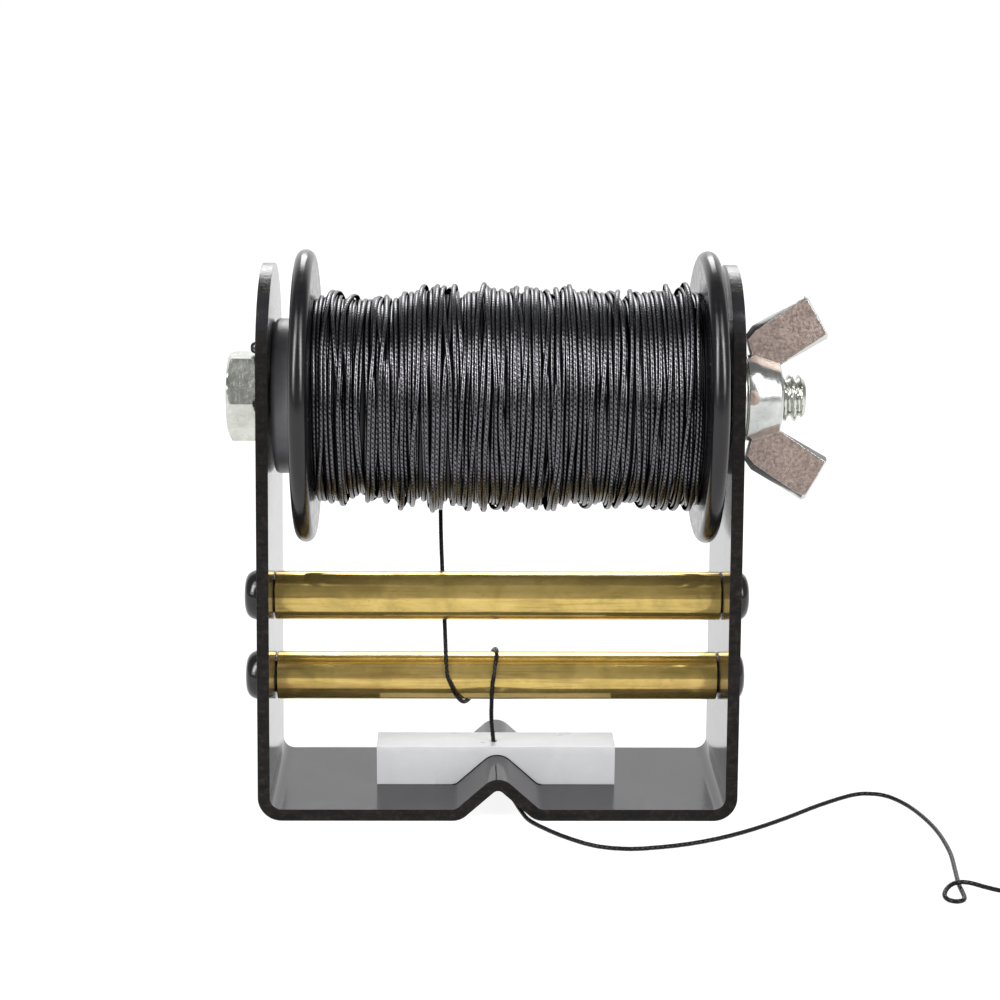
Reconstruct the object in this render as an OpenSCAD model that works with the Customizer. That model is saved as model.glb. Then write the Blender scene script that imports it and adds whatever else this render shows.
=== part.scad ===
// String reel: a bowstring serving tool. A bent steel strap carries a drag
// controlled spool of braided thread, two guide rollers and a nylon guide pad.
// Frame: X along the spool axis (wing nut at +X), Y through the depth of the
// strap, Z up. Origin: centre of the base, under the saddle, at the resting plane.

/* [Frame] */
// Outer width across the base
frame_w = 63.9; // [60:0.1:70]
// Width of the strap, front to back
strap_w = 25.4; // [22:0.1:30]
// Thickness of the strap
strap_t = 1.6; // [1.2:0.1:2]
// Height of the walls
wall_h = 72.9; // [70:0.1:80]
// Inward lean of each wall, degrees
wall_lean = 0.55; // [0:0.05:0.7]
// Outside radius of the two lower bends
bend_r = 3.2; // [2.8:0.1:4]

/* [Saddle] */
// Slope of the saddle's flanks, degrees
saddle_slope = 42; // [38:1:45]
// Height of the centre of the crown's bend
saddle_z = 3.3; // [3:0.1:3.6]
// Inside radius of the crown
saddle_ri = 0.9; // [0.7:0.1:1.2]
// Radius of the hole for the thread
thread_hole_r = 1; // [0.8:0.1:1.2]

/* [Axle] */
// Height of the axle
axle_z = 55.2; // [54:0.1:57]
// Radius of the bolt
bolt_r = 3.15; // [3.0:0.01:3.16]
// Width across the flats of the bolt head
head_af = 11.05; // [10.8:0.05:11.2]
// Height of the bolt head
head_h = 4.4; // [4:0.1:5.2]
// Where the threaded end of the bolt stops
bolt_end = 40.7; // [38:0.1:43]
// Thread pitch
pitch = 1.27; // [1:0.01:1.3]
// Resting turn of the wing nut, degrees
nut_turn = 10; // [0:1:20]

/* [Spool] */
// Radius of the flanges
flange_r = 19.45; // [18:0.05:20]
// Thickness of the flanges' full-round rims
flange_t = 2.45; // [2:0.05:2.6]
// Centre of the left flange
left_flange_x = -25.66; // [-25.8:0.01:-25.5]
// Centre of the right flange
right_flange_x = 27.59; // [27.4:0.01:27.7]
// Outside radius of the barrel
barrel_r = 8; // [7:0.1:9]

/* [Rollers] */
// Outside radius of the rollers
roller_r = 3.29; // [3.1:0.01:3.3]
// Height of the upper roller
upper_z = 28.12; // [27.5:0.01:28.5]
// Depth position of the upper roller
upper_y = -1.42; // [-1.6:0.01:-1.2]
// Height of the lower roller
lower_z = 16.04; // [15.8:0.01:16.4]
// Depth position of the lower roller
lower_y = 1.15; // [1:0.01:1.3]
// Radius of the riveted roller axles
rivet_r = 2.38; // [2:0.01:2.4]

/* [Pad] */
// Length of the guide pad
pad_l = 32.6; // [30:0.1:34]
// Depth of the guide pad
pad_d = 6; // [5.6:0.1:6.4]
// Height of the guide pad's top
pad_top = 7.1; // [6.8:0.1:7.3]
// Radius of the pad's own hole for the thread
pad_hole_r = 0.45; // [0.4:0.05:1]

/* [Thread] */
// Diameter of the serving thread
thread_d = 0.6; // [0.5:0.05:0.6]

/* [Hidden] */
$fn = 64;
half_w = frame_w / 2;
// inner face of a wall at height z, at its centre line
function wall_in(z) = half_w - bend_r + (bend_r - strap_t) / cos(wall_lean) - (z - bend_r) * tan(wall_lean);
function wall_out(z) = wall_in(z) + strap_t / cos(wall_lean);
top_r = strap_w / 2;
top_z = wall_h - top_r;
washer_t = 1;
washer_r = 5.9;
nut_in = wall_out(axle_z - washer_r) + washer_t + 0.06;
spool_bore = bolt_r + 0.05;
pad_screw_x = 10.6;
hole_x = -0.4;
hole_y = -0.6;
foot_r = 1.2;
saddle_ro = saddle_ri + strap_t;
// centre of the bend at the foot of each flank
foot_z = strap_t + foot_r;
foot_x = (saddle_ro + foot_r - (foot_z - saddle_z) * cos(saddle_slope)) / sin(saddle_slope);

// points on an arc about c, radius r, from angle a to angle b
function arc(c, r, a, b, n) = [for (i = [0:n]) c + r * [cos(a + (b - a) * i / n), sin(a + (b - a) * i / n)]];
// upper face of the saddle, left to right, lifted by g
function saddle_top(g) = concat(
    arc([-foot_x, foot_z], foot_r - g, -90, saddle_slope - 90, 6),
    arc([0, saddle_z], saddle_ro + g, 90 + saddle_slope, 90 - saddle_slope, 12),
    arc([foot_x, foot_z], foot_r - g, 270 - saddle_slope, 270, 6));
function saddle_under() = concat(
    arc([-foot_x, foot_z], foot_r + strap_t, -90, saddle_slope - 90, 8),
    arc([0, saddle_z], saddle_ri, 90 + saddle_slope, 90 - saddle_slope, 10),
    arc([foot_x, foot_z], foot_r + strap_t, 270 - saddle_slope, 270, 8));
function flip(p) = [for (i = [len(p) - 1:-1:0]) [-p[i][0], p[i][1]]];
// one wall from the lower bend up, right side: outer face up, inner face down
function wall_outer() = concat(
    arc([half_w - bend_r, bend_r], bend_r, -90, 0, 14),
    [[wall_out(wall_h + 4), wall_h + 4]]);
function wall_inner() = concat(
    [[wall_in(wall_h + 4), wall_h + 4]],
    arc([half_w - bend_r, bend_r], bend_r - strap_t, 0, -90, 10));
function back(p) = [for (i = [len(p) - 1:-1:0]) p[i]];

// turns a profile about X: profile points are [radius, x]
module about_x(z = axle_z, y = 0) translate([0, y, z]) rotate([0, 90, 0]) rotate_extrude($fn = 96) children();
module rod_x(r, a, b, z = axle_z, y = 0) translate([a, y, z]) rotate([0, 90, 0]) cylinder(r = r, h = b - a);

// curve through points p, about step apart
function blend4(a, b, c, d, t) = 0.5 * (2 * b + (c - a) * t + (2 * a - 5 * b + 4 * c - d) * t * t + (3 * b - a - 3 * c + d) * t * t * t);
function through(p, step) = concat([for (i = [0:len(p) - 2]) let (
        a = p[max(i - 1, 0)], b = p[i], c = p[i + 1], d = p[min(i + 2, len(p) - 1)],
        n = max(1, ceil(norm(c - b) / step))) for (k = [0:n - 1]) blend4(a, b, c, d, k / n)],
    [p[len(p) - 1]]);
function unit(v) = v / norm(v);
// plain tube of eight sides along a path; ref is never along the path
module tube(path, r, ref) {
    n = len(path);
    s = 8;
    points = [for (i = [0:n - 1]) let (
            t = unit(path[min(i + 1, n - 1)] - path[max(i - 1, 0)]),
            u = unit(cross(t, ref)), v = cross(t, u))
        for (k = [0:s - 1]) path[i] + r * (cos(360 * k / s) * u + sin(360 * k / s) * v)];
    sides = [for (i = [0:n - 2]) for (k = [0:s - 1])
        [i * s + k, (i + 1) * s + k, (i + 1) * s + (k + 1) % s, i * s + (k + 1) % s]];
    polyhedron(points, concat([[for (k = [0:s - 1]) k]], sides, [[for (k = [s - 1:-1:0]) (n - 1) * s + k]]), convexity = 10);
}

// thread over the lower roller: leaves the spool's back, passes behind the
// upper roller, once round the lower one and down into the pad
wrap_r = 3.75;
wrap = [[155, -6.9], [180, -6.4], [205, -5.8], [230, -5.1], [250, -4.6], [270, -4.1],
        [295, -3.4], [320, -2.7], [345, -2], [370, -1.4], [395, -0.8], [420, -0.4],
        [450, -0.1], [475, -0.1], [500, -0.3], [525, -0.5], [551, -0.7]];
feed_route = concat(
    [[-8, 13.7, 49], [-7.9, 10, 41.9], [-7.8, 6.4, 35.2], [-7.5, 3.1, 28.7], [-7.2, 0.4, 23.2]],
    [for (w = wrap) [w[1], lower_y + wrap_r * cos(w[0]), lower_z + wrap_r * sin(w[0])]],
    [[-0.8, -1.7, 11], [-0.53, -0.8, 7.7], [-0.42, -0.63, 6.5], [hole_x, hole_y, 5]]);
// free end of the thread: out under the saddle and across the table
tail_route = [[hole_x, hole_y, 5], [-0.4, -0.7, 4.2], [-0.2, -1.3, 3.3], [0.4, -2.7, 2.5],
    [1.3, -4.9, 1.7], [2.3, -7.6, 1], [3.2, -10.4, 0.5], [4.1, -13.1, 0.32],
    [5.8, -15.8, 0.32], [8.6, -19.2, 0.32], [12.4, -22.4, 0.32], [16.6, -23.5, 0.32], [20.8, -22.9, 0.32],
    [25, -21.6, 0.32], [29.4, -19.4, 0.32], [34, -16.2, 0.32], [38.8, -12.1, 0.32],
    [43.8, -7.4, 0.32], [48.7, -3.6, 0.32], [51.4, -2.9, 0.32], [53.9, -4.1, 0.32],
    [56.2, -8.6, 0.32], [57.8, -16, 0.32], [58.1, -24, 0.32], [57.5, -30.5, 0.32],
    [57, -35, 0.32], [56.9, -38, 0.32], [56.8, -39.6, 0.32], [56.4, -40.5, 0.32],
    [55.6, -40.8, 0.32], [54.8, -40.5, 0.34], [54.4, -39.7, 0.38], [54.5, -38.7, 0.5],
    [55.1, -37.5, 0.75], [56, -36.6, 0.95], [57.2, -36.2, 1], [58.6, -36.3, 0.8],
    [60.2, -36.8, 0.5], [62.2, -37.5, 0.33], [66, -38.2, 0.32], [70, -37.8, 0.32], [74, -36.8, 0.32]];

module frame() {
    profile = concat(
        saddle_under(), wall_outer(), wall_inner(),
        back(saddle_top(0)),
        flip(wall_inner()), flip(wall_outer()));
    color([0.05, 0.05, 0.055]) difference() {
        intersection() {
            translate([0, strap_w / 2, 0]) rotate([90, 0, 0]) linear_extrude(strap_w) polygon(profile);
            translate([-50, 0, 0]) union() {
                translate([0, -top_r, -1]) cube([100, strap_w, top_z + 1]);
                translate([0, 0, top_z]) rotate([0, 90, 0]) cylinder(r = top_r, h = 100);
            }
        }
        rod_x(bolt_r + 0.1, -40, 40);
        rod_x(0.8, -40, -25, axle_z + head_af / 2 + 0.93);
        rod_x(rivet_r + 0.02, -40, 40, upper_z, upper_y);
        rod_x(rivet_r + 0.02, -40, 40, lower_z, lower_y);
        translate([hole_x, hole_y, 2]) cylinder(r = thread_hole_r, h = 6);
        for (s = [-1, 1]) translate([s * pad_screw_x, 0.1, 0]) {
            translate([0, 0, -1]) cylinder(r = 1.45, h = 4);
            translate([0, 0, -0.02]) cylinder(r1 = 2.55, r2 = 1.4, h = 1.15);
        }
    }
}

module axle_bolt() {
    root = bolt_r - 0.7;
    turns = 8;
    thread_0 = bolt_end - 0.9 - turns * pitch;
    neck = wall_out(axle_z - 6) + 0.04;
    shank = concat([[0, -neck - 2], [bolt_r, -neck - 2], [bolt_r, thread_0]],
        [for (i = [0:turns - 1]) each [[bolt_r, thread_0 + (i + 0.08) * pitch], [root, thread_0 + (i + 0.42) * pitch],
            [root, thread_0 + (i + 0.58) * pitch], [bolt_r, thread_0 + (i + 0.92) * pitch]]],
        [[bolt_r, bolt_end - 0.75], [root, bolt_end], [0, bolt_end]]);
    rc = head_af / 2 / cos(30);
    color([0.72, 0.72, 0.68]) union() {
        about_x() polygon([for (p = shank) [p[0], p[1]]]);
        intersection() {
            translate([-neck - head_h, 0, axle_z]) rotate([0, 90, 0]) rotate([0, 0, 30]) rotate([0, 0, 60])
                cylinder(r = rc, h = head_h, $fn = 6);
            about_x() polygon([[0, -neck - head_h], [head_af / 2 - 0.25, -neck - head_h], [rc + 0.15, -neck - head_h + 0.65],
                [rc + 0.15, -neck - 0.95], [head_af / 2 - 0.1, -neck - 0.55], [head_af / 2 - 0.1, -neck], [0, -neck]]);
        }
    }
}

module bolt_stop_pin() {
    z = axle_z + head_af / 2 + 0.93;
    seat = wall_out(z) + 0.03;
    color([0.06, 0.06, 0.06]) about_x(z) polygon(concat(
        [[0, -seat + 1.5], [0.78, -seat + 1.5], [0.78, -seat]],
        [for (a = [0:9:90]) [0.9 * pow(cos(a), 0.6), -seat - 1.6 * pow(sin(a), 0.8)]]));
}

module flat_washer() color([0.75, 0.76, 0.75])
    about_x() polygon([[3.5, nut_in - washer_t], [washer_r - 0.15, nut_in - washer_t], [washer_r, nut_in - washer_t + 0.15],
        [washer_r, nut_in - 0.3], [washer_r - 0.2, nut_in - 0.02], [3.5, nut_in - 0.02]]);

// outline of the upper wing, in x and height above the axle
function wing_outline(i) = [[33.5 + i * 0.3, 3.9], [33.4 + i * 0.2, 8.3 - i * 0.6], [34.3 + i * 0.3, 9.6 - i * 0.7], [39.4, 12.95 - i * 0.5],
    [40.5, 13.65 - i * 0.65], [41.1 - i * 0.15, 13.4 - i * 0.5], [42.7 - i * 0.35, 10.7 - i * 0.1], [43.95 - i * 0.45, 8.4 + i * 0.15],
    [43.8 - i * 0.4, 7.9 + i * 0.5], [38.2, 5.5 + i * 0.55], [37.4 - i * 0.35, 4.5 + i * 0.3], [36.9 - i * 0.3, 3.9]];
module wing() hull() {
    translate([0, 0.25, 0]) rotate([90, 0, 0]) linear_extrude(0.5) polygon(wing_outline(0));
    translate([0, 1.3, 0]) rotate([90, 0, 0]) linear_extrude(2.6) polygon(wing_outline(1));
}
module wing_nut() {
    color([0.74, 0.74, 0.72]) translate([nut_in - 32.6, 0, axle_z]) rotate([-nut_turn, 0, 0]) translate([0, 0, -axle_z]) difference() {
        union() {
            about_x() polygon([[0, 32.6], [5.5, 32.6], [5.8, 32.9], [5.72, 34.1], [4.75, 37.2], [4.4, 37.5], [0, 37.5]]);
            for (s = [0, 1]) translate([0, 0, axle_z]) mirror([0, 0, s]) wing();
        }
        rod_x(bolt_r + 0.07, 30, 40);
        translate([37.1, 0, axle_z]) rotate([0, 90, 0]) cylinder(r1 = bolt_r, r2 = bolt_r + 0.5, h = 0.5);
    }
}

spool_l = left_flange_x - flange_t / 2;
spool_r = right_flange_x + flange_t / 2;
module drag_spacer() {
    a = -wall_in(axle_z + 10.3) + 0.03;
    b = spool_l - 0.04;
    color([0.09, 0.09, 0.095]) about_x() polygon(concat([[bolt_r + 0.1, a]],
        arc([9.6, a + 0.7], 0.7, -90, 0, 6), arc([10, b - 0.3], 0.3, 0, 90, 4), [[bolt_r + 0.1, b]]));
}
module drag_washer() {
    a = spool_r + 0.04;
    b = wall_in(axle_z + 10.3) - 0.03;
    color([0.09, 0.09, 0.095]) about_x() polygon([[bolt_r + 0.1, a], [10.1, a], [10.3, a + 0.2], [10.3, b - 0.2], [10.1, b], [bolt_r + 0.1, b]]);
}

// flange with a full-round rim; s is +1 when the barrel is on its +X side
module flange(x, s) {
    h = flange_t / 2;
    about_x() difference() {
        union() {
            translate([0, x - h]) square([flange_r - h, flange_t]);
            translate([flange_r - h, x]) circle(r = h);
            translate([0, x + (s > 0 ? 0 : -h - 4)]) square([6.5, h + 4]);
        }
        translate([0, x - 20]) square([spool_bore, 40]);
    }
}
module left_flange() color([0.08, 0.08, 0.085]) flange(left_flange_x, 1);
module right_flange() color([0.08, 0.08, 0.085]) flange(right_flange_x, -1);

in_l = left_flange_x + flange_t / 2;
in_r = right_flange_x - flange_t / 2;
module spool_barrel() color([0.1, 0.1, 0.1])
    about_x() polygon([[6.54, in_l], [barrel_r, in_l], [barrel_r, in_r], [6.54, in_r]]);

module thread_winding() color([0.12, 0.12, 0.13])
    about_x() polygon([[barrel_r, in_l + 0.02], [13, in_l + 0.02], [14, -23.4], [14.4, -22], [13.8, -20], [13.4, -17.5], [13.6, -14],
        [14.1, -12], [14.5, -10], [14.7, -8], [14.6, -5.5], [14.8, -3], [14.6, 0], [14.8, 3], [14.4, 5], [14.7, 8],
        [14.4, 12], [14.3, 14.5], [14.4, 18], [14.6, 21], [14.9, 24], [14.5, 25.6], [13.7, in_r - 0.02], [barrel_r, in_r - 0.02]]);

module roller(half, z, y) color([0.72, 0.55, 0.22])
    about_x(z, y) polygon([[rivet_r + 0.07, -half], [roller_r - 0.12, -half], [roller_r, -half + 0.12],
        [roller_r, half - 0.12], [roller_r - 0.12, half], [rivet_r + 0.07, half]]);
module upper_roller() roller(wall_in(upper_z + roller_r) - 0.07, upper_z, upper_y);
module lower_roller() roller(wall_in(lower_z + roller_r) - 0.12, lower_z, lower_y);

// riveted axle: domed head of height h on the left, formed head of height f on the right
module roller_axle(z, y, h, f) {
    a = wall_out(z - 3.4) + 0.02;
    color([0.07, 0.07, 0.075]) about_x(z, y) polygon(concat([[0, -a - h]],
        [for (t = [4, 12, 22, 34, 47, 60, 71, 81, 90]) [3.45 * pow(sin(t), 0.45), -a - h * pow(max(cos(t), 0), 0.8)]],
        [[rivet_r, -a], [rivet_r, a]],
        [for (t = [90, 81, 71, 60, 47, 34, 22, 12, 4]) [3.4 * pow(sin(t), 0.5), a + f * pow(max(cos(t), 0), 0.8)]], [[0, a + f]]));
}
module upper_roller_axle() roller_axle(upper_z, upper_y, 2.4, 2.2);
module lower_roller_axle() roller_axle(lower_z, lower_y, 2.55, 2.1);

module guide_pad() {
    g = 0.08;
    color([0.92, 0.92, 0.9]) difference() {
        translate([-pad_l / 2 - 0.15, 0.1 - pad_d / 2, strap_t + 0.02]) cube([pad_l, pad_d, pad_top - strap_t - 0.02]);
        translate([0, 8, 0]) rotate([90, 0, 0]) linear_extrude(16) polygon(concat([[-foot_x, 0]], saddle_top(g), [[foot_x, 0]]));
        translate([hole_x, hole_y, 3]) cylinder(r = pad_hole_r, h = 6);
        for (s = [-1, 1]) translate([s * pad_screw_x, 0.1, 1]) cylinder(r = 1.2, h = 5.6);
    }
}

module pad_screws() color([0.5, 0.5, 0.5])
    for (s = [-1, 1]) translate([s * pad_screw_x, 0.1, 0.1]) rotate_extrude()
        polygon([[0, 0.5], [0.5, 0.5], [0.5, 0], [2.35, 0], [1.19, 1.12], [1.19, 5.7], [0.6, 6.3], [0, 6.4]]);

module thread_feed() color([0.1, 0.1, 0.11]) tube(through(feed_route, 2.2), thread_d / 2, [1, 0, 0]);
module thread_tail() color([0.1, 0.1, 0.11]) tube(through(tail_route, 2.4), thread_d / 2, [0.64, 0.29, 0.71]);

frame();
axle_bolt();
bolt_stop_pin();
flat_washer();
wing_nut();
drag_spacer();
drag_washer();
left_flange();
right_flange();
spool_barrel();
thread_winding();
upper_roller();
lower_roller();
upper_roller_axle();
lower_roller_axle();
guide_pad();
pad_screws();
thread_feed();
thread_tail();
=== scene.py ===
import math
import numpy as np
import bpy
import bmesh
from mathutils import Matrix, Vector


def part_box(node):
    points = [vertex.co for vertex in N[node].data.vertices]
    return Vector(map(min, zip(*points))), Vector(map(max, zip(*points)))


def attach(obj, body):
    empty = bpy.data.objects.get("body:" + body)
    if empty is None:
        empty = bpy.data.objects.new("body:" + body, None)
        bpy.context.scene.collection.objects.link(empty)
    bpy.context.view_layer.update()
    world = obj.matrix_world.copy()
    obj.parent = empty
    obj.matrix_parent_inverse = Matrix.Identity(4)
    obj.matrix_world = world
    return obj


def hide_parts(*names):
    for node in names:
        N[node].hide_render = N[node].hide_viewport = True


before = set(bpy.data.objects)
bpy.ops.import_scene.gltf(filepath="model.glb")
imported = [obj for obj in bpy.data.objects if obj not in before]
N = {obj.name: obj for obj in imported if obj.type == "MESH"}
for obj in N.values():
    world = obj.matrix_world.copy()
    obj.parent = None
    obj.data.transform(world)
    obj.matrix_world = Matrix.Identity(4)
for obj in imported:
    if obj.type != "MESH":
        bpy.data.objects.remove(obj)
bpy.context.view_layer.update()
scene = bpy.context.scene
MM = 0.001

# ---------------------------------------------------------------- camera
cam = bpy.data.objects.new("camera", bpy.data.cameras.new("camera"))
scene.collection.objects.link(cam)
cam.data.lens = 83.65
cam.data.sensor_width = 36
cam.data.clip_start = 0.01
cam.data.clip_end = 200
PITCH, YAW, ROLL = math.radians(12.96), math.radians(1.05), math.radians(0.42)
fwd = Vector((math.sin(YAW) * math.cos(PITCH), math.cos(YAW) * math.cos(PITCH), -math.sin(PITCH)))
side = Vector((math.cos(YAW), -math.sin(YAW), 0))
top = side.cross(fwd)
cx = side * math.cos(ROLL) + top * math.sin(ROLL)
cy = -side * math.sin(ROLL) + top * math.cos(ROLL)
turn = Matrix((cx, cy, -fwd)).transposed().to_4x4()
cam.matrix_world = Matrix.Translation(Vector((-5.39, -305.23, 111.3)) * MM) @ turn
scene.camera = cam
scene.view_settings.view_transform = "Standard"
scene.view_settings.look = "None"

# ---------------------------------------------------------------- sizes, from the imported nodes
AXLE_Z = 0.5 * (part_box("left_flange")[0].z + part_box("left_flange")[1].z) * 1000
FLANGE_R = 0.5 * (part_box("left_flange")[1].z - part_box("left_flange")[0].z) * 1000
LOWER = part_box("lower_roller")
LOWER_Y = 0.5 * (LOWER[0].y + LOWER[1].y) * 1000
LOWER_Z = 0.5 * (LOWER[0].z + LOWER[1].z) * 1000
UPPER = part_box("upper_roller")
UPPER_Y = 0.5 * (UPPER[0].y + UPPER[1].y) * 1000
UPPER_Z = 0.5 * (UPPER[0].z + UPPER[1].z) * 1000
ROLLER_R = 0.5 * (LOWER[1].z - LOWER[0].z) * 1000


def span(node):
    """lowest and highest x of a node, in mm"""
    a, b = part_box(node)
    return a.x * 1000, b.x * 1000


# ---------------------------------------------------------------- materials
class Mat:
    """small helper around one Principled material"""

    def __init__(self, name, base=(0.5, 0.5, 0.5), **inputs):
        self.m = bpy.data.materials.new(name)
        self.m.use_nodes = True
        self.n = self.m.node_tree.nodes
        self.l = self.m.node_tree.links
        self.p = self.n["Principled BSDF"]
        self.p.inputs["Base Color"].default_value = (*base, 1)
        for k, v in inputs.items():
            self.p.inputs[k.replace("_", " ")].default_value = v

    def node(self, kind, **props):
        o = self.n.new(kind)
        for k, v in props.items():
            setattr(o, k, v)
        return o

    def link(self, a, b):
        self.l.new(a, b)

    def coords(self, sx=1, sy=1, sz=1, kind="Object", rot=(0, 0, 0)):
        tc = self.node("ShaderNodeTexCoord")
        mp = self.node("ShaderNodeMapping")
        mp.inputs["Scale"].default_value = (sx, sy, sz)
        mp.inputs["Rotation"].default_value = rot
        self.link(tc.outputs[kind], mp.inputs["Vector"])
        return mp.outputs["Vector"]

    def noise(self, vec, scale, detail=3, rough=0.55, distortion=0.0):
        o = self.node("ShaderNodeTexNoise")
        o.inputs["Scale"].default_value = scale
        o.inputs["Detail"].default_value = detail
        o.inputs["Roughness"].default_value = rough
        o.inputs["Distortion"].default_value = distortion
        self.link(vec, o.inputs["Vector"])
        return o.outputs["Fac"]

    def voronoi(self, vec, scale, feature="F1"):
        o = self.node("ShaderNodeTexVoronoi", feature=feature)
        o.inputs["Scale"].default_value = scale
        self.link(vec, o.inputs["Vector"])
        return o.outputs["Distance"]

    def ramp(self, fac, stops, interp="LINEAR"):
        o = self.node("ShaderNodeValToRGB")
        e = o.color_ramp.elements
        o.color_ramp.interpolation = interp
        while len(e) < len(stops):
            e.new(0.5)
        for i, (at, c) in enumerate(stops):
            e[i].position = at
            e[i].color = (*c, 1) if len(c) == 3 else c
        self.link(fac, o.inputs["Fac"])
        return o.outputs["Color"]

    def remap(self, fac, a, b, c, d, smooth=False):
        o = self.node("ShaderNodeMapRange", interpolation_type="SMOOTHSTEP" if smooth else "LINEAR")
        for k, v in zip(("From Min", "From Max", "To Min", "To Max"), (a, b, c, d)):
            o.inputs[k].default_value = v
        self.link(fac, o.inputs["Value"])
        return o.outputs["Result"]

    def math(self, op, a, b=None, clamp=False):
        o = self.node("ShaderNodeMath", operation=op, use_clamp=clamp)
        for i, v in enumerate((a, b)):
            if v is None:
                continue
            if isinstance(v, (int, float)):
                o.inputs[i].default_value = v
            else:
                self.link(v, o.inputs[i])
        return o.outputs[0]

    def mix(self, fac, a, b, blend="MIX"):
        o = self.node("ShaderNodeMix", data_type="RGBA", blend_type=blend)
        for sock, v in ((o.inputs[0], fac), (o.inputs[6], a), (o.inputs[7], b)):
            if isinstance(v, (int, float)):
                sock.default_value = v
            elif isinstance(v, tuple):
                sock.default_value = (*v, 1)
            else:
                self.link(v, sock)
        return o.outputs[2]

    def color(self, sock):
        self.link(sock, self.p.inputs["Base Color"])

    def rough(self, sock):
        self.link(sock, self.p.inputs["Roughness"])

    def bump(self, height, strength=0.3, distance=0.0001, chain=None):
        o = self.node("ShaderNodeBump")
        o.inputs["Strength"].default_value = strength
        o.inputs["Distance"].default_value = distance
        self.link(height, o.inputs["Height"])
        if chain is not None:
            self.link(chain, o.inputs["Normal"])
        self.link(o.outputs["Normal"], self.p.inputs["Normal"])
        return o.outputs["Normal"]


def face_axis(m, axis):
    """how far the true surface faces along an axis of the object, 0 to 1"""
    g = m.node("ShaderNodeNewGeometry")
    s = m.node("ShaderNodeSeparateXYZ")
    m.link(g.outputs["True Normal"], s.inputs[0])
    return m.math("ABSOLUTE", s.outputs[axis])


def paint_material():
    """gloss black paint: faint orange peel and dust specks"""
    m = Mat("black_paint", base=(0.012, 0.0115, 0.0125), IOR=1.5)
    c = m.coords()
    m.p.inputs["Specular Tint"].default_value = (0.97, 0.955, 1.0, 1.0)
    wave = m.noise(c, 260, 3, 0.5)
    dust = m.noise(c, 1900, 4, 0.7)
    m.color(m.mix(m.remap(dust, 0.68, 0.78, 0, 0.5),
                  m.ramp(wave, [(0.3, (0.010, 0.0095, 0.0105)), (0.75, (0.018, 0.017, 0.0185))]), (0.05, 0.047, 0.045)))
    m.rough(m.remap(m.noise(c, 500, 5, 0.6), 0.3, 0.75, 0.1, 0.15))
    m.bump(m.math("ADD", m.noise(c, 2300, 3, 0.6), m.math("MULTIPLY", dust, 0.6)), 0.5, 0.00003)
    return m.m


def edge_material(name, gloss, low, high, rough):
    """the strap's sheared edges: thin paint over a torn, streaked cut"""
    m = Mat(name, base=(0.011, 0.0105, 0.0105), IOR=1.5)
    m.p.inputs["Specular IOR Level"].default_value = gloss
    c = m.coords()
    shear = m.noise(m.coords(260, 500, 2300), 1.0, 5, 0.7, 0.6)
    pits = m.noise(c, 1100, 6, 0.75)
    m.color(m.mix(m.remap(pits, 0.5, 0.75, 0, 0.85),
                  m.ramp(shear, [(0.35, (0.003, 0.0027, 0.0026)), (0.7, (0.010, 0.0088, 0.0082))]), (0.032, 0.025, 0.022)))
    m.rough(m.remap(shear, 0.3, 0.7, low, high))
    m.bump(m.math("ADD", shear, pits), rough, 0.00008)
    return m.m


def satin_material(name, base, rough, grain=2400, ior=1.5, bumpy=0.12):
    """moulded or turned black plastic with a fine turned grain"""
    m = Mat(name, base=base, IOR=ior)
    c = m.coords()
    cloud = m.noise(c, 180, 4, 0.6)
    fine = m.noise(m.coords(grain * 1.6, grain * 0.35, grain * 0.35), 1.0, 3, 0.6)
    m.color(m.ramp(cloud, [(0.25, tuple(v * 0.8 for v in base)), (0.8, tuple(v * 1.35 for v in base))]))
    m.rough(m.remap(m.noise(c, 700, 5, 0.65), 0.3, 0.75, rough - 0.05, rough + 0.09))
    m.bump(m.math("ADD", m.math("MULTIPLY", fine, 0.5), m.math("MULTIPLY", cloud, 0.6)), bumpy, 0.00004)
    return m.m


def zinc_material(name, bright, dull, low, high, bumpy):
    """zinc plate: clouded, lightly scratched, a little duller in places"""
    m = Mat(name, base=bright, Metallic=1.0)
    c = m.coords()
    cloud = m.noise(c, 220, 6, 0.65, 0.4)
    m.color(m.ramp(cloud, [(0.28, dull), (0.62, bright)]))
    scratch = m.noise(m.coords(2600, 700, 300, rot=(0.5, 0.9, 0.2)), 1.0, 4, 0.7)
    m.rough(m.remap(m.math("MULTIPLY", m.math("ADD", m.noise(c, 900, 6, 0.7), scratch), 0.5), 0.3, 0.7, low, high))
    m.bump(m.math("ADD", m.math("MULTIPLY", m.noise(c, 420, 3, 0.55), 1.0), m.math("MULTIPLY", scratch, 0.15)), bumpy, 0.00009)
    return m.m


def oxide_material():
    m = Mat("black_oxide", base=(0.008, 0.0085, 0.0085), IOR=1.45)
    c = m.coords()
    m.color(m.ramp(m.noise(c, 420, 5, 0.6), [(0.3, (0.006, 0.0065, 0.0065)), (0.75, (0.014, 0.014, 0.0135))]))
    m.rough(m.remap(m.noise(c, 800, 5, 0.65), 0.3, 0.75, 0.06, 0.15))
    m.bump(m.math("ADD", m.noise(c, 380, 2, 0.5), m.math("MULTIPLY", m.noise(c, 1700, 4, 0.6), 0.35)), 0.3, 0.00009)
    return m.m


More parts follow.
